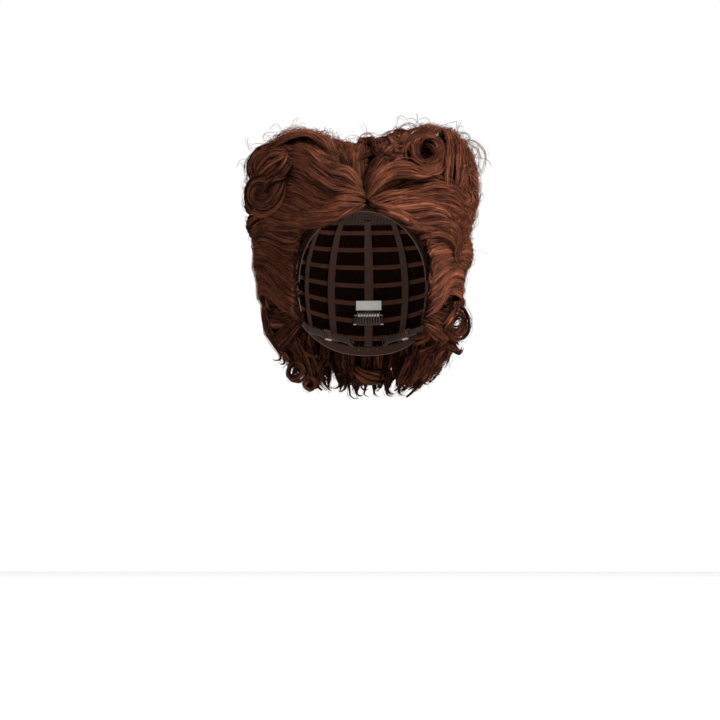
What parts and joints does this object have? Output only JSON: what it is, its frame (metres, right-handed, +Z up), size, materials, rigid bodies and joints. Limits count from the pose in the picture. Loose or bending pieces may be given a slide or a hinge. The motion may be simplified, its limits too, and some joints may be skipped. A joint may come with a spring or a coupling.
{
  "type": "costume wig",
  "caption": "Auburn costume wig with a heart-shaped upswept front, rolled side lobes and curled ends, on a wefted cap with snap clips, ear tabs and hooked nape straps.",
  "frame": {"origin": "crown seat: the highest point inside the cap, where it rests on the wearer's head", "axes": "+Z up, -Y towards the face, +X towards the wearer's left"},
  "size_m": [0.2419, 0.2188, 0.2716],
  "materials": {
    "hair": "heat-resistant synthetic fibre, auburn, soft shine",
    "weft": "machine-sewn weft seam",
    "net": "fine elastic net",
    "cap_tape": "woven tape",
    "elastic": "ribbed elastic",
    "thread": "twisted thread",
    "label": "plain woven satin, blank",
    "stay": "translucent nylon",
    "slider": "moulded",
    "clip_steel": "dark coated spring steel",
    "silicone": "translucent silicone tube"
  },
  "bodies": {
    "wig": {"crown_hair": "hair", "front_wave_left": "hair", "front_wave_right": "hair", "top_roll_left": "hair", "side_roll_left": "hair", "temple_hair_left": "hair", "ear_hair_left": "hair", "side_back_left": "hair", "top_roll_right": "hair", "side_roll_right": "hair", "temple_hair_right": "hair", "ear_hair_right": "hair", "side_back_right": "hair", "back_hair_upper": "hair", "back_hair_middle": "hair", "nape_hair": "hair", "loop_curl_left": "hair", "flick_curl_left": "hair", "crown_net": "net", "cap_ribbons": "cap_tape", "front_band": "cap_tape", "nape_band": "cap_tape", "size_label": "label", "hook_loops": "thread", "weft_row_1": "weft", "weft_row_2": "weft", "weft_row_3": "weft", "weft_row_4": "weft", "weft_row_5": "weft", "weft_row_6": "weft", "weft_row_7": "weft", "weft_row_8": "weft", "nape_strap_left": "elastic", "nape_strap_right": "elastic", "clip_frame_front": "clip_steel", "clip_sleeve_front": "silicone", "clip_frame_left": "clip_steel", "clip_sleeve_left": "silicone", "clip_frame_right": "clip_steel", "clip_sleeve_right": "silicone", "clip_frame_nape": "clip_steel", "clip_sleeve_nape": "silicone"},
    "comb_front": {"clip_comb_front": "clip_steel"},
    "comb_left": {"clip_comb_left": "clip_steel"},
    "comb_right": {"clip_comb_right": "clip_steel"},
    "comb_nape": {"clip_comb_nape": "clip_steel"},
    "tab_left": {"ear_tab_left": "cap_tape", "tab_stay_left": "stay"},
    "slider_left": {"strap_slider_left": "slider"},
    "hook_left": {"strap_hook_left": "clip_steel"},
    "tab_right": {"ear_tab_right": "cap_tape", "tab_stay_right": "stay"},
    "slider_right": {"strap_slider_right": "slider"},
    "hook_right": {"strap_hook_right": "clip_steel"}
  },
  "joints": [
    {"name": "clip_snap_front", "type": "hinge", "parent": "wig", "child": "comb_front", "pos_m": [0, -0.06677, -0.03488], "axis": [-1, 0, 0], "range_deg": [0, 45]},
    {"name": "clip_snap_left", "type": "hinge", "parent": "wig", "child": "comb_left", "pos_m": [0.0686, -0.0171, -0.09006], "axis": [-0.0677, 0.0169, 0.9976], "range_deg": [0, 45]},
    {"name": "clip_snap_right", "type": "hinge", "parent": "wig", "child": "comb_right", "pos_m": [-0.0686, -0.0171, -0.09006], "axis": [-0.0677, -0.0169, -0.9976], "range_deg": [0, 45]},
    {"name": "clip_snap_nape", "type": "hinge", "parent": "wig", "child": "comb_nape", "pos_m": [0, 0.08124, -0.13462], "axis": [1, 0, 0], "range_deg": [0, 45]},
    {"name": "ear_tab_bend_left", "type": "hinge", "parent": "wig", "child": "tab_left", "pos_m": [0.06981, -0.0187, -0.12959], "axis": [-0.168, 0.045, -0.9848], "range_deg": [0, 25]},
    {"name": "strap_slide_left", "type": "slide", "parent": "wig", "child": "slider_left", "axis": [-0.6683, 0.7383, -0.0914], "range_m": [-0.012, 0.012]},
    {"name": "hook_swing_left", "type": "hinge", "parent": "wig", "child": "hook_left", "pos_m": [0.02147, 0.06995, -0.15477], "axis": [0.2455, 0.3349, 0.9097], "range_deg": [-8, 60]},
    {"name": "ear_tab_bend_right", "type": "hinge", "parent": "wig", "child": "tab_right", "pos_m": [-0.06981, -0.0187, -0.12959], "axis": [-0.168, -0.045, 0.9848], "range_deg": [0, 25]},
    {"name": "strap_slide_right", "type": "slide", "parent": "wig", "child": "slider_right", "axis": [0.6683, 0.7383, -0.0914], "range_m": [-0.012, 0.012]},
    {"name": "hook_swing_right", "type": "hinge", "parent": "wig", "child": "hook_right", "pos_m": [-0.02147, 0.06995, -0.15477], "axis": [0.2455, -0.3349, -0.9097], "range_deg": [-8, 60]}
  ]
}
